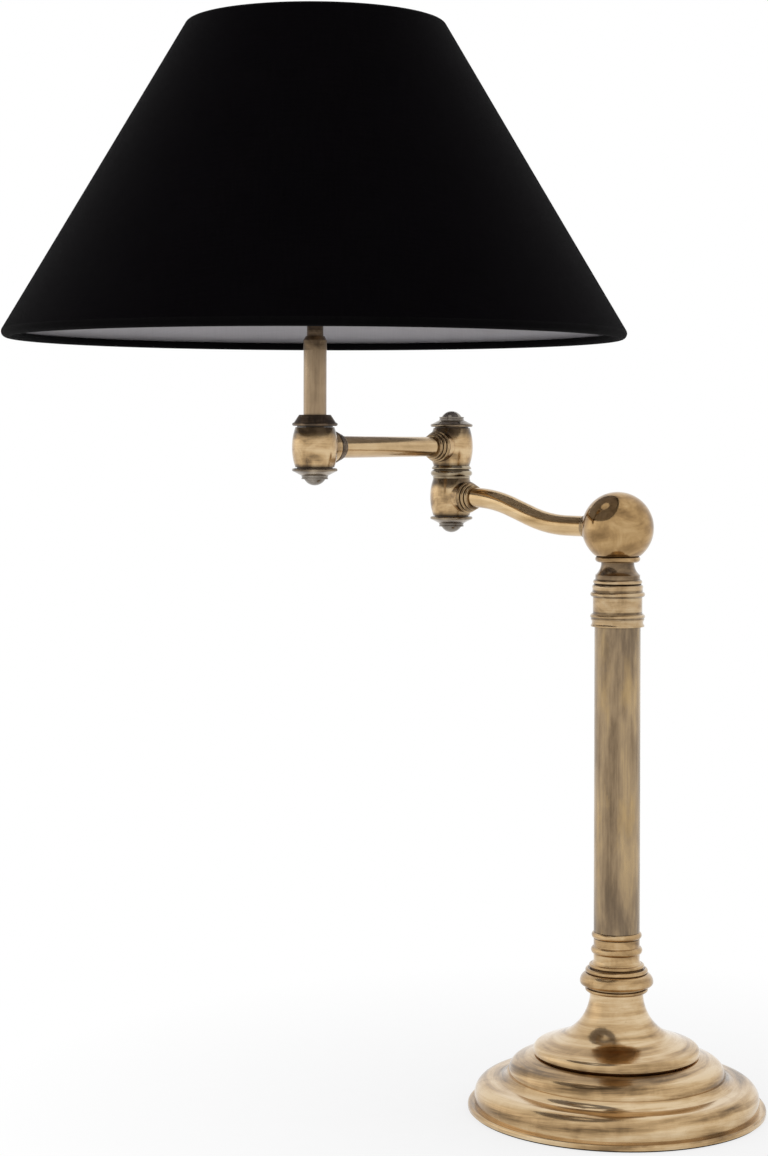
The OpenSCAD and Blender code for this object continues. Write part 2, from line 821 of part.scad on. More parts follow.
module stem_bell() {
  edge = flange_t / 2;
  lip = 0.4 + flange_t;
  color(brass) head_frame() translate([0, 0, bell_z]) rotate_extrude() difference() {
    union() {
      band(barrel_end_r - 1, 0, 1);
      band(flange_r - edge, 0.6, 0.6 + flange_t);
      bead(flange_r, 0.6 + edge, flange_t);
      polygon([
        [0, lip], [flange_r - 1, lip], [flange_r - 2.3, lip + 2], [stem_r + 3.3, bell_h - 0.7],
        [stem_r + 2.8, bell_h], [0, bell_h]
      ]);
    }
    band(spindle_r + plug_gap, -1, bell_h + 1);
    band(stem_r + plug_gap, bell_h - 4, bell_h + 1);
  }
}

module stem_tube() {
  color(brass) head_frame() translate([0, 0, stem_z]) difference() {
    cylinder(r = stem_r, h = stem_top - stem_z);
    translate([0, 0, -1]) cylinder(r = stem_r - 1.8, h = stem_top - stem_z + 2);
  }
}

module stem_sleeve() {
  color("#4a3d2c") head_frame() translate([0, 0, stem_top]) rotate_extrude() difference() {
    union() {
      band(stem_r - 1.8 - plug_gap, -7, 0.01);
      polygon([
        [0, 0], [stem_r + 0.2, 0], [stem_r + 0.2, sleeve_h - 2.6],
        [stem_r - 1.4, sleeve_h], [0, sleeve_h]
      ]);
    }
    band(4.8 + plug_gap, -8, sleeve_h + 1);
  }
}

module nipple() {
  color(brass) head_frame() translate([0, 0, sleeve_top]) rotate_extrude() difference() {
    union() {
      band(4.8, -14, nipple_bare + 9);
      band(5.3, 0, nipple_bare);
    }
    band(wire_r, -15, nipple_bare + 10);
  }
}

module holder_cap() {
  color(brass) head_frame() translate([0, 0, holder_z]) rotate_extrude() difference() {
    union() {
      band(8.5, 0, 4);
      intersection() {
        translate([0, holder_cap_h - 2]) circle(r = holder_r - 0.4);
        translate([0, 2]) square([holder_r, holder_cap_h - 4]);
      }
      band(holder_r - 0.4, holder_cap_h - 2, holder_cap_h);
    }
    band(4.8 + plug_gap, -1, 10);
    band(12, 8, holder_cap_h + 1);
    band(holder_r - 1.7, holder_cap_h - 7, holder_cap_h + 1);
  }
}

module holder_shell() {
  color(brass) head_frame() difference() {
    translate([0, 0, shell_z]) rotate_extrude() difference() {
      union() {
        band(holder_r, 0, holder_shell_h);
        band(holder_r + 2.6, 22, 24.5);
        bead(holder_r + 0.9, 1.4, 2.4);
        for (i = [0:4]) bead(holder_r + 0.35, 28.5 + i * 2.4, 1.6);
        bead(holder_r + 0.5, holder_shell_h - 1.1, 2.2);
      }
      band(holder_r - 1.3, -1, holder_shell_h + 1);
    }
    translate([0, 0, switch_z]) rotate([0, 90, 180]) cylinder(r = shaft_r + run_gap, h = 40);
  }
}

module holder_core() {
  color("#e6e1d6") head_frame() difference() {
    translate([0, 0, core_z]) rotate_extrude() difference() {
      band(holder_r - 1.7 - plug_gap, 0, shell_top - core_z - 2);
      band(socket_r + 0.8, 24, 80);
      band(4 + plug_gap, 24 - 2.6, 25);
      band(5, -1, 8);
    }
    translate([0, 0, switch_z]) rotate([0, 90, 180]) cylinder(r = shaft_r + 0.3, h = 40);
  }
}

module socket_shell() {
  color("#b08d4a") head_frame() translate([0, 0, socket_z]) rotate_extrude() difference() {
    band(socket_r + 0.75, 0, shell_top - socket_z - 4);
    band(socket_r, -1, 80);
  }
}

module socket_contact() {
  color("#b08d4a") head_frame() translate([0, 0, socket_z - 2.6]) {
    cylinder(r = 4, h = 1.2);
    translate([0, 0, 1.2]) cylinder(r1 = 4, r2 = 2.4, h = 1.4);
  }
}

module switch_shaft() {
  color(steel) head_frame() translate([0, 0, switch_z]) rotate([0, 90, 180])
    translate([0, 0, 7]) cylinder(r = shaft_r, h = holder_r + 10 - 7);
}

module switch_knob() {
  color("#1d1b19") head_frame() translate([-holder_r - 3, 0, switch_z]) rotate([0, -90, 0]) difference() {
    union() {
      cylinder(r = knob_r, h = knob_len - 1.2);
      translate([0, 0, knob_len - 1.2]) cylinder(r1 = knob_r, r2 = knob_r - 1.2, h = 1.2);
    }
    translate([0, 0, -1]) cylinder(r = shaft_r, h = 8);
    for (i = [0:11]) rotate([0, 0, i * 30]) translate([knob_r + 0.5, 0, 2]) cylinder(r = 1.1, h = knob_len);
  }
}

// Shade

module shade_ring() {
  nut_r = holder_r + ring_nut_w;
  color("#1d1b19") head_frame() translate([0, 0, fit_z + 2]) difference() {
    rotate_extrude() difference() {
      union() {
        band(nut_r - 0.8, 0, ring_nut_h);
        bead(nut_r, ring_nut_h / 2, ring_nut_h * 0.8);
      }
      band(holder_r + 0.5, -1, ring_nut_h + 1);
    }
    for (i = [0:11]) rotate([0, 0, i * 30])
      translate([nut_r + 1.2, 0, -1]) cylinder(r = 2, h = ring_nut_h + 2);
  }
}

function arm_top() = [top_c[0] - 0.7, 0, top_c[1] - 0.8];
function arm_low() = [fitter_r - 1.6, 0, fit_z + 1];

module spider_arms(r) {
  for (i = [0:2]) rotate([0, 0, 90 + i * 120]) bar(arm_low(), arm_top(), r);
}

module shade_spider() {
  color("#d8d5ce") head_frame() {
    translate([0, 0, fit_z]) rotate_extrude() difference() {
      band(fitter_r, 0, 2);
      band(holder_r + 0.7, -1, 3);
    }
    spider_arms(arm_wire_r);
    rotate_extrude() translate(top_c) circle(r = wire_ring_r);
  }
}

module shade_wire() {
  color("#d8d5ce") head_frame() rotate_extrude() translate(low_c) circle(r = wire_ring_r);
}

module cone_layer(d0, d1) {
  polygon([
    low_c + (hem_low_r - d0) * cone_n, top_c + (hem_top_r - d0) * cone_n,
    top_c + (hem_top_r - d1) * cone_n, low_c + (hem_low_r - d1) * cone_n
  ]);
}

module shade_skin() {
  color("#141314") head_frame() rotate_extrude() difference() {
    cone_layer(0, skin_t);
    translate(low_c) circle(r = hem_low_r);
    translate(top_c) circle(r = hem_top_r);
  }
}

module shade_lining() {
  color("#d9d8dc") head_frame() rotate_extrude() difference() {
    cone_layer(skin_t, skin_t + lining_t);
    translate(low_c) circle(r = hem_low_r);
    translate(top_c) circle(r = hem_top_r);
  }
}

module hem_top() {
  color("#141314") head_frame() difference() {
    rotate_extrude() translate(top_c) difference() {
      circle(r = hem_top_r);
      circle(r = wire_ring_r);
    }
    spider_arms(arm_wire_r + 0.15);
  }
}

module hem_low() {
  color("#141314") head_frame() rotate_extrude() translate(low_c) difference() {
    circle(r = hem_low_r);
    circle(r = wire_ring_r);
  }
}

felt_pad();
base_shell();
base_weight();
base_washer();
base_nut();
cord_bush();
tie_rod();
foot_collar();
column_tube();
capital();
swivel_seat();
swivel_neck();
swivel_nut();
ball();
ball_collar();
lower_tube();
lower_collar();
lower_knuckle();
lower_flange();
lower_cap();
elbow_spindle();
elbow_ring_low();
friction_washer();
elbow_nut();
elbow_ring_up();
upper_knuckle();
upper_flange();
upper_cap();
upper_collar();
upper_tube();
end_collar();
end_knuckle();
end_flange();
end_cap();
stem_spindle();
stem_nut();
stem_bell();
stem_tube();
stem_sleeve();
nipple();
holder_cap();
holder_shell();
holder_core();
socket_shell();
socket_contact();
shade_ring();
shade_spider();
shade_wire();
shade_skin();
shade_lining();
hem_top();
hem_low();
switch_shaft();
switch_knob();
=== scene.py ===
# %% [markdown]
# # A brass swing arm table lamp
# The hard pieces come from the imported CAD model: they already have the right
# shape, size and joints. In this lesson they get their finishes, and the soft
# pieces - the cloth shade, its rolled hems, its lining and the felt under the
# foot - are modelled here, because cloth is a matter of looks.
# Every length is in metres, and the origin is under the column.

# %% Load the frame
import math

import bpy
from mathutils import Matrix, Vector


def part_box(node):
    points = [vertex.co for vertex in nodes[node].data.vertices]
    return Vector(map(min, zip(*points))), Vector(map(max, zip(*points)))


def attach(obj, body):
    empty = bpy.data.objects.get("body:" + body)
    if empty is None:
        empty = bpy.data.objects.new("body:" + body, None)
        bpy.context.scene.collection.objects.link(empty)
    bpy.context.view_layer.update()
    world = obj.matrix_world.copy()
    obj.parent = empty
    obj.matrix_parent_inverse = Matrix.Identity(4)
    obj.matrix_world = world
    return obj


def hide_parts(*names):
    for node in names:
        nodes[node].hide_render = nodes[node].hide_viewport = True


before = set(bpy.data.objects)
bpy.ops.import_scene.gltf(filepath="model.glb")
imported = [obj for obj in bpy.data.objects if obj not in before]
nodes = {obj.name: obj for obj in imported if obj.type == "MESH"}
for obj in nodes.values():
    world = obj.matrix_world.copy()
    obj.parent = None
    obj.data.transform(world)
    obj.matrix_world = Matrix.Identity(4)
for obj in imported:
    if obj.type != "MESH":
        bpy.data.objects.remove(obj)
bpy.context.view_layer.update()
bpy.ops.object.select_all(action="DESELECT")
scene = bpy.context.scene
scene.view_settings.view_transform = "Standard"
print("pieces from CAD:", len(nodes))

# %% [markdown]
# ## Where things are
# A finish has to know the axis that its piece was turned on, so that the tool
# marks run round it. There are three upright axes: the column, the elbow and
# the stem. Their places could be typed in, but then they would be wrong as soon
# as the CAD model changes, so they are read off the boxes of CAD pieces.


# %% Measure the axes
def middle(node):
    low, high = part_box(node)
    return (low + high) / 2


column_axis = (0.0, 0.0, 0.0)
elbow_mid = middle("lower_cap")
stem_mid = middle("stem_tube")
elbow_axis = (elbow_mid.x, elbow_mid.y, 0.0)
stem_axis = (stem_mid.x, stem_mid.y, 0.0)
print("elbow at", elbow_axis, "stem at", stem_axis)

# %% [markdown]
# ## A short way to write node graphs
# A finish is a graph of nodes. By hand it is clicked together; in a script it
# should read like a recipe. `put` adds one node, sets what is constant and
# links what comes from another node. The other helpers are short names for the
# nodes that are needed again and again.


# %% Node helpers
def feed(tree, socket, value):
    """Links a socket to another node's output, or sets it to a constant."""
    if isinstance(value, bpy.types.NodeSocket):
        tree.links.new(value, socket)
    else:
        socket.default_value = value


def put(tree, kind, settings=None, **inputs):
    node = tree.nodes.new("ShaderNode" + kind)
    for key, value in (settings or {}).items():
        setattr(node, key, value)
    for key, value in inputs.items():
        feed(tree, node.inputs[key.replace("_", " ")], value)
    return node


def math_node(tree, operation, *values):
    node = put(tree, "Math", {"operation": operation})
    for socket, value in zip(node.inputs, values):
        feed(tree, socket, value)
    return node.outputs[0]


def vector_node(tree, operation, *values):
    node = put(tree, "VectorMath", {"operation": operation})
    for socket, value in zip(node.inputs, values):
        feed(tree, socket, value)
    return node.outputs["Value" if operation == "LENGTH" else "Vector"]


# %% [markdown]
# These work on values and colours. `spread` stretches one range to another,
# `blend` adds up values by their shares, and `ramp` turns a value into a colour.


# %% Value and colour helpers
def spread(tree, value, old, new=(0.0, 1.0)):
    node = put(tree, "MapRange", Value=value, From_Min=old[0], From_Max=old[1],
               To_Min=new[0], To_Max=new[1])
    return node.outputs[0]


def blend(tree, *shares):
    value, share = shares[-1]
    total = math_node(tree, "MULTIPLY", value, share)
    for value, share in reversed(shares[:-1]):
        total = math_node(tree, "MULTIPLY_ADD", value, share, total)
    return total


def noise(tree, vector, scale, detail=2.0, rough=0.5, bend=0.0):
    node = put(tree, "TexNoise", Vector=vector, Scale=scale, Detail=detail,
               Roughness=rough, Distortion=bend)
    return node.outputs[0]


def ramp(tree, factor, stops):
    node = tree.nodes.new("ShaderNodeValToRGB")
    feed(tree, node.inputs[0], factor)
    marks = node.color_ramp.elements
    while len(marks) < len(stops):
        marks.new(0.5)
    for mark, (place, colour) in zip(marks, stops):
        mark.position = place
        mark.color = (*colour, 1.0)
    return node.outputs[0]


def mix_colours(tree, factor, first, second):
    """The Mix node has sockets for every kind of data: 6 and 7 are its colours."""
    node = put(tree, "Mix", {"data_type": "RGBA"})
    feed(tree, node.inputs[0], factor)
    for index, colour in ((6, first), (7, second)):
        feed(tree, node.inputs[index], (*colour, 1.0) if isinstance(colour, tuple) else colour)
    return node.outputs[2]


# %% [markdown]
# Every finish on the lamp starts with a new material and ends with the same
# three links: colour, gloss and a fine relief. `dress` gives a finish to CAD
# pieces, which keep their meshes and only change their material.

# %% Finish helpers
dressed = []


def new_finish(name):
    finish = bpy.data.materials.new(name)
    finish.use_nodes = True
    tree = finish.node_tree
    return finish, tree, tree.nodes["Principled BSDF"]


def wire_up(tree, shader, colour, rough, height, relief, depth=0.0003):
    bump = put(tree, "Bump", Strength=relief, Distance=depth, Height=height)
    feed(tree, shader.inputs["Base Color"], colour)
    feed(tree, shader.inputs["Roughness"], rough)
    feed(tree, shader.inputs["Normal"], bump.outputs[0])


def dress(finish, *names):
    for name in names:
        mesh = nodes[name].data
        mesh.materials.clear()
        mesh.materials.append(finish)
    dressed.extend(names)
    print(finish.name, "on", ", ".join(names))


# %% [markdown]
# ## Aged brass
# The brass is old: golden where hands and cloth rub it, brown where it has
# tarnished. The grooves are nearly black, partly grime and partly painted shade.
# Grooves could be painted by hand. An occlusion node finds them on any piece
# instead: a spot that sees little of its surroundings lies deep. Over the metal
# lies lacquer, a clear coat that whitens it where it is seen edge on.

# %% Grooves and lacquer
grime_and_shade = (0.050, 0.029, 0.013)
deepest = 0.20
occlusion_rays = 12
lacquer_rough = 0.10
upright = (0.0, 0.0, 0.0)


def axis_coordinates(tree, place, turn):
    """Coordinates in which the piece's own axis is the upright one."""
    where = put(tree, "TexCoord").outputs["Object"]
    local = put(tree, "Mapping", {"vector_type": "TEXTURE"},
                Vector=where, Location=place, Rotation=turn)
    return local.outputs[0]


def open_share(tree, reach=0.0035, clear=0.72):
    """0 deep in a groove, 1 on an open face."""
    shade = put(tree, "AmbientOcclusion", {"samples": occlusion_rays}, Distance=reach)
    return spread(tree, shade.outputs["AO"], (deepest, clear))


def lacquer(shader, weight):
    shader.inputs["Metallic"].default_value = 1.0
    shader.inputs["Coat Weight"].default_value = weight
    shader.inputs["Coat Roughness"].default_value = lacquer_rough


# %% [markdown]
# ## Turned on a lathe
# Foot, rings, ball, barrels and caps were turned, and the tool left fine rings
# round the axis. An image wrapped round each piece could show them. Here the
# noise reads only two numbers, the distance from the axis and the height along
# it, so it comes out as rings by itself. A small share of the sideways place
# makes them wander, as worn rings do.

# %% Lathe marks
rings_per_m = 1300.0
streaks_per_m = 120.0
clouds_per_m = 60.0
specks_per_m = 620.0
ring_wander = 0.05


def lathe_marks(tree, local, sweep):
    """Fine rings, broad streaks and clouds, and the height along the axis."""
    parts = put(tree, "SeparateXYZ", Vector=local).outputs
    flat = put(tree, "CombineXYZ", X=parts[0], Y=parts[1]).outputs[0]
    radius = vector_node(tree, "LENGTH", flat)
    profile = put(tree, "CombineXYZ", X=radius, Y=parts[2]).outputs[0]

    def wander(share):
        sideways = vector_node(tree, "MULTIPLY", local, (share, share, 0.0))
        return vector_node(tree, "ADD", profile, sideways)

    rings = noise(tree, wander(ring_wander), rings_per_m, detail=3.0, rough=0.65)
    streaks = noise(tree, wander(sweep), streaks_per_m, detail=4.0, rough=0.5)
    clouds = noise(tree, local, clouds_per_m, detail=6.0, rough=0.62, bend=0.8)
    return rings, streaks, clouds, parts[2]


# %% [markdown]
# Some turned pieces are darkened at certain heights, and all of it is painted
# light: painted shade on the neck below its cup ring, painted reflection and
# shade on a barrel towards both ends, next to its dark flanges, and painted
# shade lines at the edges of the capital's rings. Each is a band along the axis,
# broken up by the clouds so that it isn't a stripe.

# %% Painted shade at certain heights
dark_tones = [(0.36, (0.028, 0.018, 0.010)), (0.44, (0.067, 0.044, 0.026)),
              (0.52, (0.148, 0.100, 0.059)), (0.62, (0.304, 0.213, 0.122))]
end_reflection_brown = (0.047, 0.027, 0.011)
shade_line_brown = (0.080, 0.046, 0.020)
cup_blur = 0.0008
upper_start, upper_full = 0.0072, 0.0034
lower_start, lower_full = 0.0024, 0.0008
line_half, line_fade = 0.0003, 0.0011


# painted shade: the neck is darkened below its cup ring, under the ball
def paint_shade_below(tree, colour, tone, height, cup):
    above = spread(tree, height, (cup - cup_blur, cup + cup_blur), (0.2, 1.0))
    return mix_colours(tree, above, ramp(tree, tone, dark_tones), colour)


# painted reflection: a barrel is darkened towards both ends, as the dark flanges and the
# lampshade would show in it
def paint_reflection_ends(tree, colour, clouds, height, low, top):
    upper = spread(tree, height, (top - upper_start, top - upper_full), (0.0, 0.9))
    lower = spread(tree, height, (low + lower_start, low + lower_full), (0.0, 0.8))
    dull = math_node(tree, "MULTIPLY", math_node(tree, "MAXIMUM", upper, lower),
                     spread(tree, clouds, (0.38, 0.58), (1.1, 0.75)))
    return mix_colours(tree, dull, colour, end_reflection_brown)


# a painted shade line at one edge of a ring
def draw_shade_line(tree, colour, clouds, height, line):
    off = math_node(tree, "ABSOLUTE", math_node(tree, "SUBTRACT", height, line))
    dull = math_node(tree, "MULTIPLY", spread(tree, off, (line_half, line_fade), (0.9, 0.0)),
                     spread(tree, clouds, (0.40, 0.60), (1.0, 0.55)))
    return mix_colours(tree, dull, colour, shade_line_brown)


# %% [markdown]
# `turned_brass` puts it together. Clouds, streaks and rings add up to a tone,
# and the tone picks the colour and the gloss: brown places are dull, golden ones
# shine. Small specks and the dark in the grooves, grime and painted shade, come
# last, on top.

# %% The turned finish
tone_span = (0.36, 0.62)
speck_span = (0.66, 0.74)
speck_most = 0.5
groove_rough = 0.3
ring_relief = 5.0
cloud_relief = 0.8
turned_relief = 0.10


def turned_brass(name, tones, place, turn=upright, cloudy=0.56, sweep=0.25, fine=0.12,
                 rough_range=(0.28, 0.16), groove=0.007, clear=0.86, dirt_and_shade=grime_and_shade,
                 coat=0.45, cup=None, ends=None, lines=()):
    finish, tree, shader = new_finish(name)
    local = axis_coordinates(tree, place, turn)
    rings, streaks, clouds, height = lathe_marks(tree, local, sweep)
    tone = blend(tree, (clouds, cloudy), (streaks, 1.0 - fine - cloudy), (rings, fine))
    colour = ramp(tree, tone, tones)
    if cup:
        colour = paint_shade_below(tree, colour, tone, height, cup)
    if ends:
        colour = paint_reflection_ends(tree, colour, clouds, height, *ends)
    for line in lines:
        colour = draw_shade_line(tree, colour, clouds, height, line)
    specks = noise(tree, local, specks_per_m, detail=3.0, rough=0.6)
    speck_share = spread(tree, specks, speck_span, (0.0, speck_most))
    colour = mix_colours(tree, speck_share, colour, tones[1][1])
    # the grooves are darkened with grime and painted shade, wherever occlusion finds them
    openness = open_share(tree, groove, clear)
    colour = mix_colours(tree, openness, dirt_and_shade, colour)
    rough = math_node(tree, "ADD", spread(tree, tone, tone_span, rough_range),
                      spread(tree, openness, (0.0, 1.0), (groove_rough, 0.0)))
    marks = blend(tree, (rings, fine * ring_relief), (clouds, cloud_relief))
    wire_up(tree, shader, colour, rough, marks, turned_relief)
    lacquer(shader, coat)
    return finish


# %% [markdown]
# ## Foot, collar and capital
# The foot is wide and easy to polish, so its tone has few clouds and long
# streaks round it. The collar and the capital have more tarnish. At each edge
# of the capital's rings a brown line of painted shade is drawn. Occlusion alone
# finds such shallow edges badly, so the lines are drawn at heights that are
# counted from the capital's top.

# %% Dress the foot, collar and capital
foot_tones = [(0.37, (0.146, 0.088, 0.039)), (0.44, (0.342, 0.219, 0.104)),
              (0.51, (0.529, 0.360, 0.184)), (0.61, (0.693, 0.531, 0.332))]
bright_tones = [(0.36, (0.144, 0.082, 0.032)), (0.44, (0.312, 0.192, 0.082)),
                (0.52, (0.486, 0.318, 0.149)), (0.62, (0.623, 0.460, 0.266))]
capital_tones = [(0.34, (0.154, 0.094, 0.042)), (0.42, (0.308, 0.200, 0.094)),
                 (0.50, (0.469, 0.322, 0.168)), (0.60, (0.576, 0.442, 0.275))]
# colours for the grooves of foot and collar: grime and painted shade together
foot_dirt_and_shade = (0.476, 0.327, 0.174)
collar_dirt_and_shade = (0.228, 0.146, 0.074)
capital_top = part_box("capital")[1].z
# heights of the painted shade lines, counted from the capital's top
edge_rises = (0.0079, 0.0048, 0.0006, -0.0029, -0.0133, -0.0168)
ring_edges = [capital_top + rise for rise in edge_rises]

dress(turned_brass("aged_brass_foot", foot_tones, column_axis, cloudy=0.16, sweep=0.12,
                   rough_range=(0.21, 0.10), groove=0.0016, clear=0.72,
                   dirt_and_shade=foot_dirt_and_shade, coat=0.22), "base_shell")
dress(turned_brass("aged_brass_column", bright_tones, column_axis, cloudy=0.40,
                   groove=0.004, clear=0.88, dirt_and_shade=collar_dirt_and_shade), "foot_collar")
dress(turned_brass("aged_brass_capital", capital_tones, column_axis, cloudy=0.40,
                   groove=0.0032, lines=ring_edges), "capital", "swivel_seat")

# %% [markdown]
# ## Neck and ball
# The neck is hollowed like an eggcup, and below the cup's ring it is darkened
# with painted shade. The ball is smooth and shows its surroundings, so its rings
# are faint and its gloss is high. Its pattern is turned round the axis, to bring
# a calm part of the noise to the front.

# %% Dress the neck and the ball
ball_tones = [(0.36, (0.217, 0.129, 0.053)), (0.44, (0.319, 0.196, 0.085)),
              (0.51, (0.414, 0.262, 0.116)), (0.62, (0.524, 0.357, 0.176))]
cup_drop = 0.0105
ball_turn = (0.0, 0.0, 2.1)
cup_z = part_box("swivel_neck")[1].z - cup_drop

dress(turned_brass("brass_neck_shaded_below_cup", bright_tones, column_axis, groove=0.003, cup=cup_z),
      "swivel_neck")
dress(turned_brass("aged_brass_ball", ball_tones, column_axis, ball_turn, cloudy=0.66,
                   rough_range=(0.16, 0.09), groove=0.006, fine=0.03, coat=0.12), "ball")

# %% [markdown]
# ## The barrels at the elbow and the stem
# Hands hold the lamp by its barrels, so they are rubbed golden in the middle.
# Towards both ends they are darkened brown, a painted reflection of the dark
# flanges and of the lampshade above. The rings between them are greyer. One loop
# makes all three barrels, each with its own ends.

# %% Dress the barrels and rings
barrel_tones = [(0.36, (0.162, 0.099, 0.044)), (0.43, (0.328, 0.209, 0.097)),
                (0.50, (0.514, 0.344, 0.169)), (0.60, (0.652, 0.474, 0.269))]
ring_tones = [(0.36, (0.106, 0.074, 0.042)), (0.44, (0.228, 0.171, 0.103)),
              (0.52, (0.342, 0.270, 0.173)), (0.62, (0.486, 0.403, 0.277))]

for barrel, place in (("lower_knuckle", elbow_axis), ("upper_knuckle", elbow_axis),
                      ("end_knuckle", stem_axis)):
    barrel_low, barrel_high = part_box(barrel)
    dress(turned_brass("barrel_" + barrel, barrel_tones, place,
                       ends=(barrel_low.z, barrel_high.z)), barrel)
dress(turned_brass("ring_brass_elbow", ring_tones, elbow_axis, groove=0.003),
      "elbow_ring_low", "elbow_ring_up")

# %% [markdown]
# ## Caps, flanges and the dark pieces
# Caps and flanges are hardly touched, so they have gone grey and brown; their
# dark tones are partly painted reflection of the dark lampshade and
# surroundings. The bell and the sleeve on the stem are darkest and nearly matt,
# partly tarnish and partly painted reflection of the lampshade above them. The
# lampholder is inside the shade and has kept its strong colour.

# %% Dress the caps, flanges and dark pieces
grey_tones = [(0.36, (0.068, 0.056, 0.044)), (0.44, (0.133, 0.113, 0.091)),
              (0.52, (0.228, 0.198, 0.163)), (0.62, (0.372, 0.333, 0.284))]
flange_tones = [(0.36, (0.065, 0.046, 0.027)), (0.44, (0.141, 0.103, 0.065)),
                (0.52, (0.243, 0.184, 0.120)), (0.62, (0.395, 0.318, 0.225))]
holder_tones = [(0.37, (0.080, 0.046, 0.018)), (0.44, (0.255, 0.154, 0.061)),
                (0.50, (0.483, 0.310, 0.131)), (0.60, (0.638, 0.456, 0.224))]

# grey tones: partly tarnish, partly painted reflection of the dark lampshade
dress(turned_brass("tarnish_and_reflection_brass_elbow", grey_tones, elbow_axis), "lower_cap", "upper_cap")
dress(turned_brass("tarnish_and_reflection_brass_stem", grey_tones, stem_axis), "end_cap")
dress(turned_brass("flange_brass_elbow", flange_tones, elbow_axis),
      "lower_flange", "upper_flange")
dress(turned_brass("flange_brass_stem", flange_tones, stem_axis), "end_flange")
# darkest tones: partly tarnish, partly painted reflection of the lampshade above
dress(turned_brass("dark_brass_stem", dark_tones, stem_axis, rough_range=(0.6, 0.45)),
      "stem_bell", "stem_sleeve", "nipple")
dress(turned_brass("aged_brass_stem", holder_tones, stem_axis),
      "holder_cap", "holder_shell", "socket_contact", "socket_shell")

# %% [markdown]
# ## Drawn through a die
# A tube is drawn, not turned: its marks run along it. The same noise makes them
# when the coordinates are squeezed along the axis, because what is squeezed
# before the noise comes out stretched. The column has golden patches too, and
# is dull near both ends, where it can't be polished well.

# %% The drawn finish
rubbed_gold = (0.483, 0.324, 0.138)
tube_brown = (0.131, 0.093, 0.061)
dull_end = 0.05
mark_stretch = 0.03
patch_stretch = 0.30
drawn_relief = 0.2


def weather_tube(tree, colour, clouds, local, patches, low, top):
    """Golden patches along a tube, and brown towards its two ends."""
    height = put(tree, "SeparateXYZ", Vector=local).outputs[2]
    gold = spread(tree, patches, (0.54, 0.66), (0.0, 0.55))
    colour = mix_colours(tree, gold, colour, rubbed_gold)
    inside = math_node(tree, "MULTIPLY", spread(tree, height, (low, low + dull_end)),
                       spread(tree, height, (top, top - dull_end)))
    dull = math_node(tree, "MULTIPLY", spread(tree, inside, (0.0, 1.0), (0.75, 0.0)),
                     spread(tree, clouds, (0.40, 0.56), (1.0, 0.3)))
    return mix_colours(tree, dull, colour, tube_brown)


def drawn_brass(name, tones, place, turn, rough_range, cloudy=0.40, stretch=0.35,
                ends=None, coat=0.4):
    finish, tree, shader = new_finish(name)
    local = axis_coordinates(tree, place, turn)

    def along(share):
        return vector_node(tree, "MULTIPLY", local, (1.0, 1.0, share))

    streaks = noise(tree, along(mark_stretch), 380.0, detail=4.0, rough=0.62)
    broad = noise(tree, along(mark_stretch), 120.0, detail=4.0, rough=0.6, bend=0.6)
    clouds = noise(tree, along(stretch), 95.0, detail=6.0, rough=0.6, bend=0.15)
    clear = 1.0 - cloudy
    tone = blend(tree, (streaks, 0.4 * clear), (broad, 0.6 * clear), (clouds, cloudy))
    colour = ramp(tree, tone, tones)
    if ends:
        patches = noise(tree, along(patch_stretch), 60.0, detail=5.0, rough=0.6)
        colour = weather_tube(tree, colour, clouds, local, patches, *ends)
    # grooves and joints are darkened with grime and painted shade
    colour = mix_colours(tree, open_share(tree), grime_and_shade, colour)
    rough = spread(tree, tone, tone_span, rough_range)
    wire_up(tree, shader, colour, rough, streaks, drawn_relief)
    lacquer(shader, coat)
    return finish


# %% [markdown]
# ## The upright tubes
# Column and stem stand upright, so their marks run up and down. Both are duller
# than the arms and a little greyer.

# %% Dress the column and the stem
column_tones = [(0.36, (0.131, 0.086, 0.046)), (0.44, (0.241, 0.167, 0.095)),
                (0.52, (0.345, 0.246, 0.142)), (0.61, (0.476, 0.337, 0.177))]
stem_tones = [(0.36, (0.163, 0.105, 0.056)), (0.45, (0.267, 0.183, 0.104)),
              (0.53, (0.351, 0.248, 0.146)), (0.64, (0.429, 0.313, 0.191))]
tube_low, tube_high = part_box("column_tube")

dress(drawn_brass("dull_brass_column", column_tones, column_axis, upright, (0.40, 0.26),
                  cloudy=0.5, stretch=0.22, ends=(tube_low.z, tube_high.z)), "column_tube")
dress(drawn_brass("dull_brass_stem", stem_tones, stem_axis, upright, (0.38, 0.25)), "stem_tube")

# %% [markdown]
# ## The arms and their collars
# The arms lie level, so their axes are tipped over by a quarter turn and swung
# to the arm's heading. They are handled often and shine. The stepped collars at
# their ends were turned on the same level axes.

# %% Dress the arms and collars
lower_arm_tones = [(0.30, (0.217, 0.132, 0.056)), (0.42, (0.459, 0.306, 0.146)),
                   (0.52, (0.586, 0.408, 0.211)), (0.66, (0.705, 0.535, 0.323))]
arm_tones = [(0.30, (0.205, 0.125, 0.053)), (0.42, (0.427, 0.285, 0.138)),
             (0.52, (0.552, 0.383, 0.200)), (0.66, (0.676, 0.507, 0.303))]
collar_tones = [(0.37, (0.065, 0.040, 0.018)), (0.44, (0.182, 0.116, 0.055)),
                (0.50, (0.357, 0.239, 0.118)), (0.60, (0.532, 0.380, 0.205))]
quarter_turn = math.pi / 2
lower_turn = (0.0, quarter_turn, math.atan2(elbow_mid.y, elbow_mid.x))
upper_turn = (0.0, quarter_turn,
              math.atan2(stem_mid.y - elbow_mid.y, stem_mid.x - elbow_mid.x))
lower_place = (0.0, 0.0, middle("lower_collar").z)
upper_place = (elbow_axis[0], elbow_axis[1], middle("upper_tube").z)
ball_place = (0.0, 0.0, middle("ball").z)

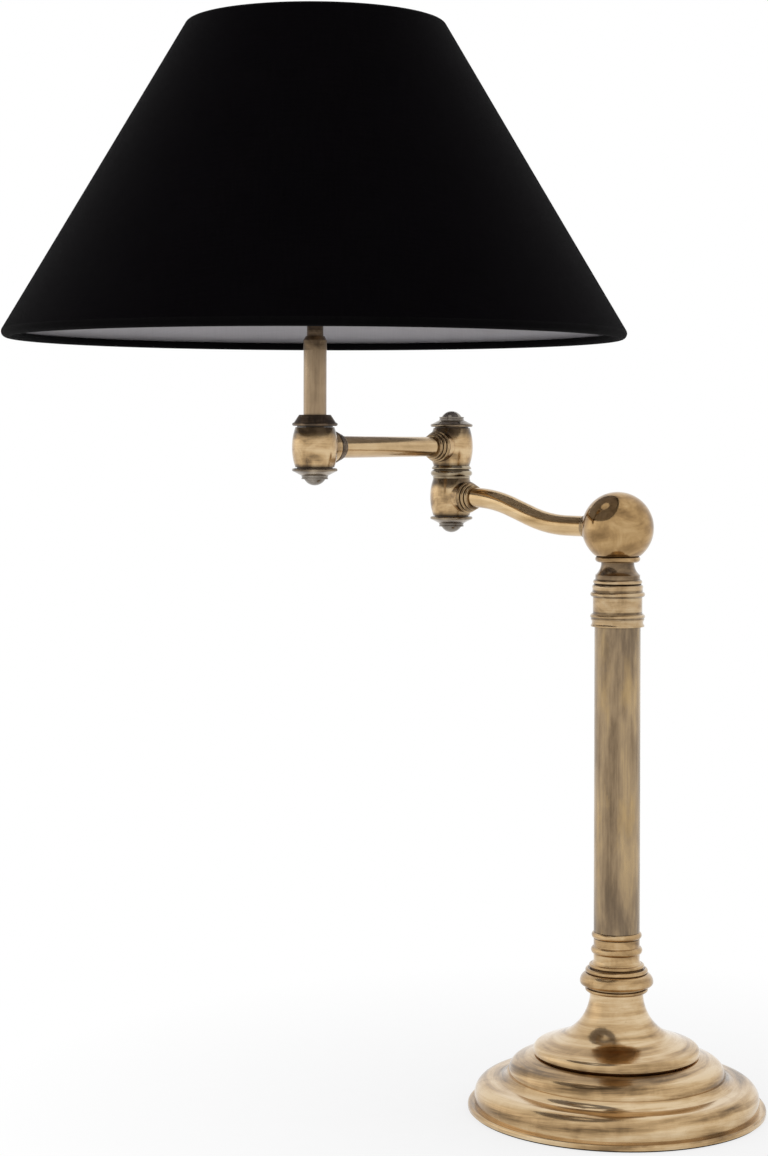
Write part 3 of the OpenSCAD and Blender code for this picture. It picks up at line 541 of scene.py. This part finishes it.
dress(drawn_brass("arm_brass_lower", lower_arm_tones, lower_place, lower_turn, (0.20, 0.10),
                  coat=0.12), "lower_tube")
dress(drawn_brass("arm_brass_upper", arm_tones, upper_place, upper_turn, (0.28, 0.16),
                  coat=0.2), "upper_tube")
dress(turned_brass("collar_brass_lower", collar_tones, lower_place, lower_turn), "lower_collar")
dress(turned_brass("collar_brass_upper", collar_tones, upper_place, upper_turn), "upper_collar")
dress(turned_brass("collar_brass_end", dark_tones, upper_place, upper_turn), "end_collar")
dress(turned_brass("collar_brass_ball", collar_tones, ball_place, lower_turn), "ball_collar")

# %% [markdown]
# ## The other hard finishes
# Steel, iron, porcelain, plastic and coated wire are seen little or not at
# all, but a lamp is also looked at from below and from above. A plain colour
# would look like a toy, so each gets a small graph: a grain for colour, a
# spread of gloss and a fine bump.

# %% The grained finish
fine_grain = 9.0
pore_reach = 0.002
grain_depth = 0.0004


def grained(name, dark, light, rough_range, metal, scale, relief=0.1):
    finish, tree, shader = new_finish(name)
    where = put(tree, "TexCoord").outputs["Object"]
    grain = noise(tree, where, scale, detail=5.0, rough=0.6)
    fine = noise(tree, where, scale * fine_grain)
    colour = ramp(tree, grain, [(0.36, dark), (0.64, light)])
    # pores and joints are darkened with grime and painted shade
    colour = mix_colours(tree, open_share(tree, pore_reach), grime_and_shade, colour)
    rough = spread(tree, grain, (0.35, 0.65), rough_range)
    height = blend(tree, (fine, 0.5), (grain, 1.0))
    wire_up(tree, shader, colour, rough, height, relief, grain_depth)
    shader.inputs["Metallic"].default_value = metal
    return finish


# %% [markdown]
# The weight is rough cast iron, the hidden fastenings are steel, the shade's
# wires have a white coat, and the lampholder's core is glazed porcelain.

# %% Dress the small hard pieces
dress(grained("cast_iron", (0.020, 0.019, 0.018), (0.060, 0.058, 0.055),
              (0.8, 0.6), metal=1.0, scale=260.0, relief=0.5), "base_weight")
dress(grained("plain_steel", (0.36, 0.36, 0.36), (0.55, 0.55, 0.54),
              (0.42, 0.28), metal=1.0, scale=180.0),
      "base_washer", "base_nut", "tie_rod", "swivel_nut", "elbow_spindle", "elbow_nut",
      "stem_spindle", "stem_nut", "switch_shaft")
dress(grained("white_wire", (0.62, 0.61, 0.58), (0.72, 0.71, 0.68),
              (0.42, 0.34), metal=0.0, scale=120.0), "shade_spider", "shade_wire")
dress(grained("black_plastic", (0.008, 0.008, 0.008), (0.016, 0.016, 0.016),
              (0.55, 0.42), metal=0.0, scale=300.0, relief=0.2),
      "cord_bush", "friction_washer", "shade_ring", "switch_knob")
dress(grained("porcelain", (0.70, 0.68, 0.63), (0.78, 0.76, 0.71),
              (0.18, 0.12), metal=0.0, scale=60.0, relief=0.04), "holder_core")
print("dressed", len(dressed), "of", len(nodes), "pieces; the rest are soft")

# %% [markdown]
# ## The shade: cloth over a stiff liner
# The shade is a cone of black cloth between two hoops. Everything about it
# follows from the CAD hems: their radius, their height and how thick they are.
# `lean` is how far the cloth leans in, just so that it touches both rolls from
# outside. Laid flat, the cloth is part of a ring round the cone's `apex`.


# %% Measure the shade
def hoop(node):
    """Radius and height of a hem's middle line, and the radius of its roll."""
    low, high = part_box(node)
    roll = (high.z - low.z) / 2
    return (high.x - low.x) / 2 - roll, (high.z + low.z) / 2, roll


low_r, low_z, low_roll = hoop("hem_low")
top_r, top_z, top_roll = hoop("hem_top")
slant = math.hypot(low_r - top_r, top_z - low_z)
lean = math.atan2(low_r - top_r, top_z - low_z) + math.asin((low_roll - top_roll) / slant)
out_r, out_z = math.cos(lean), math.sin(lean)
cone_share = (low_r - top_r) / slant
apex = low_r / cone_share
print("shade: lower radius", round(low_r, 4), "top radius", round(top_r, 4))

# %% [markdown]
# `enter` and `leave` switch edit mode on and off, and `pick` selects what a
# test says. Everything starts out deselected, so that an operator acts only on
# what was picked.


# %% Edit helpers
def enter(mode):
    bpy.ops.object.mode_set(mode="EDIT")
    bpy.ops.mesh.select_mode(type=mode)
    bpy.ops.mesh.select_all(action="DESELECT")


def leave():
    bpy.ops.object.mode_set(mode="OBJECT")


def pick(mesh, kind, test):
    bpy.ops.object.mode_set(mode="OBJECT")
    chosen = 0
    for item in getattr(mesh, kind):
        item.select = bool(test(item))
        chosen += item.select
    bpy.ops.object.mode_set(mode="EDIT")
    return chosen


def is_level(mesh, edge):
    first, second = (mesh.vertices[i].co.z for i in edge.vertices)
    return abs(first - second) < 1e-5


# %% [markdown]
# A finished piece has its modifiers applied and its place put into its mesh.
# Then it is hung on the body that carries it, and takes the place of the plain
# CAD solid that stood there.

# %% Finish a piece
smooth_up_to = math.radians(40)


def finish_modifier(piece, kind, **values):
    bpy.context.view_layer.objects.active = piece
    tool = piece.modifiers.new(kind.title(), kind)
    for key, value in values.items():
        setattr(tool, key, value)
    bpy.ops.object.modifier_apply(modifier=tool.name)


def settle(piece, name, finish, body, replaced):
    bpy.ops.object.select_all(action="DESELECT")
    piece.select_set(True)
    bpy.context.view_layer.objects.active = piece
    bpy.ops.object.transform_apply(location=True, rotation=True, scale=True)
    piece.name = name
    piece.data.name = name
    piece.data.materials.clear()
    piece.data.materials.append(finish)
    bpy.ops.object.shade_smooth_by_angle(angle=smooth_up_to)
    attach(piece, body)
    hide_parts(replaced)
    bpy.ops.object.select_all(action="DESELECT")
    print(name, len(piece.data.polygons), "faces")


# %% [markdown]
# ## Black cloth
# The cloth is a plain weave: two sets of threads that cross. Two waves, one
# along each direction of the cut, make the relief; a little slub noise varies
# the thickness of the threads. Black cloth is only truly black from the front.
# Seen edge on, its fibres catch light, and that is what sheen is for.

# %% The woven finish
slubs_per_m = 900.0
slub_stretch = 0.05
patches_per_m = 18.0
weave_depth = 0.0002


def cloth(name, dark, light, thread, rough, sheen, relief=0.35):
    finish, tree, shader = new_finish(name)
    where = put(tree, "TexCoord").outputs["UV"]
    split = put(tree, "SeparateXYZ", Vector=where).outputs
    across, along = (math_node(tree, "SINE", math_node(tree, "MULTIPLY", part, math.tau / thread))
                     for part in (split[0], split[1]))
    weave = math_node(tree, "MULTIPLY", across, along)
    warp, weft = (noise(tree, vector_node(tree, "MULTIPLY", where, squeeze), slubs_per_m,
                        detail=3.0, rough=0.6)
                  for squeeze in ((1.0, slub_stretch, 1.0), (slub_stretch, 1.0, 1.0)))
    patch = noise(tree, where, patches_per_m, detail=4.0, rough=0.55)
    tone = blend(tree, (weave, 0.10), (warp, 0.35), (weft, 0.35), (patch, 0.3))
    colour = ramp(tree, tone, [(0.34, dark), (0.66, light)])
    height = blend(tree, (weave, 0.5), (tone, 1.0))
    wire_up(tree, shader, colour, rough, height, relief, weave_depth)
    shader.inputs["Specular IOR Level"].default_value = 0.02
    shader.inputs["Sheen Weight"].default_value = sheen
    shader.inputs["Sheen Roughness"].default_value = 0.35
    return finish


black_cloth = cloth("black_shade_cloth", (0.0009, 0.0006, 0.0010), (0.0022, 0.0017, 0.0023),
                    thread=0.0005, rough=0.95, sheen=0.022)
black_tape = cloth("black_binding_tape", (0.0016, 0.0014, 0.0016), (0.0040, 0.0036, 0.0040),
                   thread=0.0004, rough=0.9, sheen=0.035)
pale_lining = cloth("pale_lining", (0.52, 0.507, 0.528), (0.59, 0.577, 0.598),
                    thread=0.0006, rough=0.85, sheen=0.0, relief=0.12)
print("woven:", black_cloth.name, black_tape.name, pale_lining.name)

# %% [markdown]
# ## A layer of the cone
# Cover and lining are cones at different depths. A cone primitive gives the
# start, and cuts along its height give it rings that can be shaped: they are
# drawn in by a hair, as cloth that is stretched between two hoops is. A cloth
# simulation could do that too, but for taut cloth a formula is enough.

# %% Make a layer
steps_round = 192
drawn_in = 0.0008


def cone_layer(depth, cuts, tuck=0.0):
    """An open cone this deep in the cloth, with its lower edge tucked in."""
    edge_r = low_r + (low_roll - depth) * out_r + tuck * out_z
    edge_z = low_z + (low_roll - depth) * out_z - tuck * out_r
    end_r = top_r + (top_roll - depth) * out_r
    end_z = top_z + (top_roll - depth) * out_z
    bpy.ops.mesh.primitive_cone_add(
        vertices=steps_round, radius1=edge_r, radius2=end_r, depth=end_z - edge_z,
        end_fill_type="NOTHING", location=(*stem_axis[:2], (edge_z + end_z) / 2))
    piece = bpy.context.object
    mesh = piece.data
    enter("EDGE")
    pick(mesh, "edges", lambda e: not is_level(mesh, e))
    bpy.ops.mesh.subdivide(number_cuts=cuts)
    leave()
    half = max(abs(v.co.z) for v in mesh.vertices)
    for spot in mesh.vertices:
        up = (spot.co.z + half) / (2 * half)
        pull = 1 - drawn_in * math.sin(math.pi * up)
        spot.co.x *= pull
        spot.co.y *= pull
    return piece


# %% [markdown]
# The threads run straight in the flat cut and turn on the cone. Blender could
# unwrap the cone, but not in metres. So the UV map is worked out: it is the flat
# cut, opened at a seam at the back, away from the viewer.

# %% Lay a layer flat
seam_angle = math.radians(90)


def from_seam(spot):
    """Angle from the seam, up to a full turn."""
    return (math.atan2(spot.y - stem_axis[1], spot.x - stem_axis[0]) - seam_angle) % math.tau


def cut_flat(piece):
    mesh = piece.data
    for face in mesh.polygons:
        face_turn = from_seam(face.center)
        for loop in face.loop_indices:
            spot = mesh.vertices[mesh.loops[loop].vertex_index].co
            turn = from_seam(spot)
            turn += math.tau * round((face_turn - turn) / math.tau)
            fan = (turn - math.pi) * cone_share
            reach = apex - (spot.z - low_z) * slant / (top_z - low_z)
            mesh.uv_layers[0].data[loop].uv = (reach * math.sin(fan), reach * math.cos(fan))


# %% [markdown]
# ## Cut the cover
# The cover lies outside, on both rolls. One edge of the cloth laps over the
# other at the seam. A second strip could be laid on, but it would have to be
# joined; pushing out the faces along the seam keeps the cover in one piece.

# %% Model the cover
lap_half = 0.008
lap_rise = 0.0004
cover_t = 0.0009
cover_cuts = 40

cover = cone_layer(0.0, cover_cuts)
enter("FACE")
lap = pick(cover.data, "polygons", lambda f: abs(
    math.atan2(f.center.y, f.center.x) - seam_angle) * low_r < lap_half)
bpy.ops.mesh.extrude_region_shrink_fatten(TRANSFORM_OT_shrink_fatten={"value": lap_rise})
leave()
print("faces in the lap:", lap)
finish_modifier(cover, "SOLIDIFY", thickness=cover_t, offset=-1.0, use_quality_normals=True)
settle(cover, "shade_cover", black_cloth, "head", "shade_skin")
cut_flat(cover)

# %% [markdown]
# ## Line it
# The lining is a pale layer just inside the cover, and throws the light down.
# It is tucked a little past the lower hoop, where the hem holds it.

# %% Model the lining
lining_depth = 0.0010
lining_t = 0.0006
lining_tuck = 0.0015
lining_cuts = 24

lining = cone_layer(lining_depth, lining_cuts, lining_tuck)
finish_modifier(lining, "SOLIDIFY", thickness=lining_t, offset=-1.0)
settle(lining, "shade_lining_cloth", pale_lining, "head", "shade_lining")
cut_flat(lining)

# %% [markdown]
# ## Roll the hems
# A strip of the same cloth is rolled round the wire at each rim. A torus is
# the start. At the lower rim the lining is pressed down onto the roll from
# inside, so the roll's inner top is squashed nearly flat there.


# %% Model the lower hem
def rolled_hem(hoop_r, height, roll):
    bpy.ops.mesh.primitive_torus_add(
        major_segments=steps_round, minor_segments=28,
        major_radius=hoop_r, minor_radius=roll, location=(*stem_axis[:2], height))
    hem = bpy.context.object
    for spot in hem.data.uv_layers[0].data:
        spot.uv = (spot.uv[0] * math.tau * hoop_r, spot.uv[1] * math.tau * roll)
    return hem


press_height = 0.005
lining_back = 0.0018
squash = 0.08

low_hem = rolled_hem(low_r, low_z, low_roll)
flat_z = press_height - low_roll
press_r = low_r + (low_roll - lining_back) * out_r
enter("VERT")
pressed = pick(low_hem.data, "vertices",
               lambda v: v.co.z > flat_z and math.hypot(v.co.x, v.co.y) < press_r)
bpy.ops.transform.resize(value=(1.0, 1.0, squash),
                         center_override=(*stem_axis[:2], low_z + flat_z))
leave()
print("pressed flat under the lining:", pressed)
settle(low_hem, "shade_low_hem", black_tape, "head", "hem_low")

# %% [markdown]
# At the top rim the strip is pulled tight towards the outside, so the roll's
# inner face is flatter. Scaling only the inner part away from the axis does it.

# %% Model the top hem
inner_part = 0.5
inner_push = 0.2

top_hem = rolled_hem(top_r, top_z, top_roll)
inner_r = top_r - inner_part * top_roll
widen = 1 + inner_push * top_roll / top_r
enter("VERT")
pressed = pick(top_hem.data, "vertices", lambda v: math.hypot(v.co.x, v.co.y) < inner_r)
bpy.ops.transform.resize(value=(widen, widen, 1.0), center_override=(*stem_axis[:2], top_z))
leave()
print("drawn flat at the top opening:", pressed)
settle(top_hem, "shade_top_hem", black_tape, "head", "hem_top")

# %% [markdown]
# ## How the cloth was cut
# Cover and lining are stretched over the two hoops. Each was cut flat, as a
# part of a ring.

# %% [markdown]
# ## Felt under the foot
# A disc of felt keeps the foot from scratching the table. A plain cylinder
# would have a crisp edge, which felt doesn't have, so the rim of the disc is
# beveled. Its colour is a mat of short fibres.

# %% Model the felt
felt_low, felt_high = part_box("felt_pad")
felt_d = felt_high.x - felt_low.x
felt_insets = (0.012, 0.03)
felt_edge = 0.0004
near_rim = felt_d / 2 - 0.0001

bpy.ops.mesh.primitive_cylinder_add(
    vertices=128, radius=felt_d / 2, depth=felt_high.z - felt_low.z,
    location=(0.0, 0.0, (felt_low.z + felt_high.z) / 2))
felt = bpy.context.object
felt_mesh = felt.data
enter("FACE")
pick(felt_mesh, "polygons", lambda f: abs(f.normal.z) > 0.9)
for inset in felt_insets:
    bpy.ops.mesh.inset(thickness=inset)
enter("EDGE")
rim = pick(felt_mesh, "edges", lambda e: is_level(felt_mesh, e) and all(
    math.hypot(*felt_mesh.vertices[i].co.xy) > near_rim for i in e.vertices))
bpy.ops.mesh.bevel(offset=felt_edge, segments=3)
leave()
print("edges on the felt's rim:", rim)
felt_finish = grained("dark_felt", (0.010, 0.011, 0.010), (0.026, 0.028, 0.026),
                      (1.0, 0.9), metal=0.0, scale=900.0, relief=0.9)
settle(felt, "felt_disc", felt_finish, "stand", "felt_pad")

# %% [markdown]
# ## A floor that fades to white
# The lamp stands on a pale floor. More light could make the floor white, but it
# would wash out the lamp. Instead the floor glows for those rays only that show
# the background: straight ones, mirrored ones and ones through glass. Near the
# foot it glows less, so that the lamp's shadow stays.


# %% Floor
def seen_rays(tree):
    """1 for a ray that shows the background, 0 for one that only brings light."""
    rays = put(tree, "LightPath").outputs
    mirrored = math_node(tree, "MAXIMUM", rays["Is Glossy Ray"], rays["Is Transmission Ray"])
    return math_node(tree, "MAXIMUM", rays["Is Camera Ray"], mirrored)


white = (1.0, 1.0, 1.0, 1.0)
floor_size = 12.0
floor_drop = 0.0003
fade_reach = (0.09, 0.42)
floor_tones = [(0.3, (0.57, 0.57, 0.58)), (0.7, (0.60, 0.60, 0.61))]

bpy.ops.mesh.primitive_plane_add(size=floor_size, location=(0.0, 0.0, -floor_drop))
floor = bpy.context.object
floor.name = "floor"
floor_finish, tree, shader = new_finish("pale_floor")
where = put(tree, "TexCoord").outputs["Object"]
fade = spread(tree, vector_node(tree, "LENGTH", where), fade_reach, (0.80, 1.0))
grain = noise(tree, where, 60.0, detail=3.0)
feed(tree, shader.inputs["Base Color"], ramp(tree, grain, floor_tones))
feed(tree, shader.inputs["Roughness"], 0.8)
glow = put(tree, "Emission", Color=white, Strength=1.0)
both = put(tree, "MixShader")
feed(tree, both.inputs[0], math_node(tree, "MULTIPLY", seen_rays(tree), fade))
feed(tree, both.inputs[1], shader.outputs[0])
feed(tree, both.inputs[2], glow.outputs[0])
feed(tree, tree.nodes["Material Output"].inputs["Surface"], both.outputs[0])
floor.data.materials.append(floor_finish)
print("floor of", floor_size, "m, fading to white over", fade_reach, "m")

# %% [markdown]
# ## Light from all sides
# The world is a white room, half as bright in front, where the viewer stands,
# and brighter far to the left. A photograph of a studio could be wrapped round
# the scene; a few ranges along the three directions do the same and need no
# file. Rays that show the background see at least plain white.

# %% World
world = bpy.data.worlds.new("studio")
scene.world = world
world.use_nodes = True
tree = world.node_tree
ways = put(tree, "SeparateXYZ", Vector=put(tree, "TexCoord").outputs["Generated"]).outputs
room = spread(tree, ways[1], (-0.9, 0.4), (0.46, 1.0))
ceiling = spread(tree, ways[2], (0.05, 0.7), (0.0, 0.4))
window = spread(tree, ways[0], (-0.75, -0.95), (0.0, 0.35))
right_side = spread(tree, ways[0], (0.5, 0.95), (1.0, 0.92))
room = math_node(tree, "MINIMUM", math_node(tree, "ADD", room, ceiling), 1.0)
room = math_node(tree, "MULTIPLY", math_node(tree, "ADD", room, window), right_side)
sky = tree.nodes["Background"]
feed(tree, sky.inputs["Color"], white)
feed(tree, sky.inputs["Strength"], math_node(tree, "MAXIMUM", seen_rays(tree), room))
print("world:", world.name)

# %% [markdown]
# Two large soft lamps give the black shade and the floor some direction. They
# are hidden from mirrored rays, because a square lamp in the brass would look
# odd.


# %% Lamps
def softbox(name, place, aim, watts, size=1.8):
    bpy.ops.object.light_add(type="AREA", location=place)
    box = bpy.context.object
    box.name = name
    box.data.size = size
    box.data.energy = watts
    x, y, z = (there - here for there, here in zip(aim, place))
    tilt = math.atan2(math.hypot(x, y), -z)
    box.rotation_euler = (tilt, 0.0, math.atan2(x, -y) + math.pi)
    box.visible_glossy = False
    print(name, watts, "W")


softbox("key_box", place=(-2.2, -1.3, 1.1), aim=(-0.05, 0.0, 0.35), watts=8.0)
softbox("fill_box", place=(2.4, 0.9, 0.8), aim=(-0.1, 0.0, 0.4), watts=14.0)

# %% [markdown]
# ## The camera
# The camera looks level at the lamp, from its front. It isn't tilted down to
# the foot, because then the column would lean; the picture is shifted instead.

# %% Camera
camera_place = (-0.1508, -1.5385, 0.4346)
camera_roll = -0.0028
bpy.ops.object.camera_add(location=camera_place, rotation=(quarter_turn, camera_roll, 0.0))
camera = bpy.context.object
camera.data.lens = 74.37
camera.data.shift_y = -0.125
scene.camera = camera
print("camera at", camera_place)
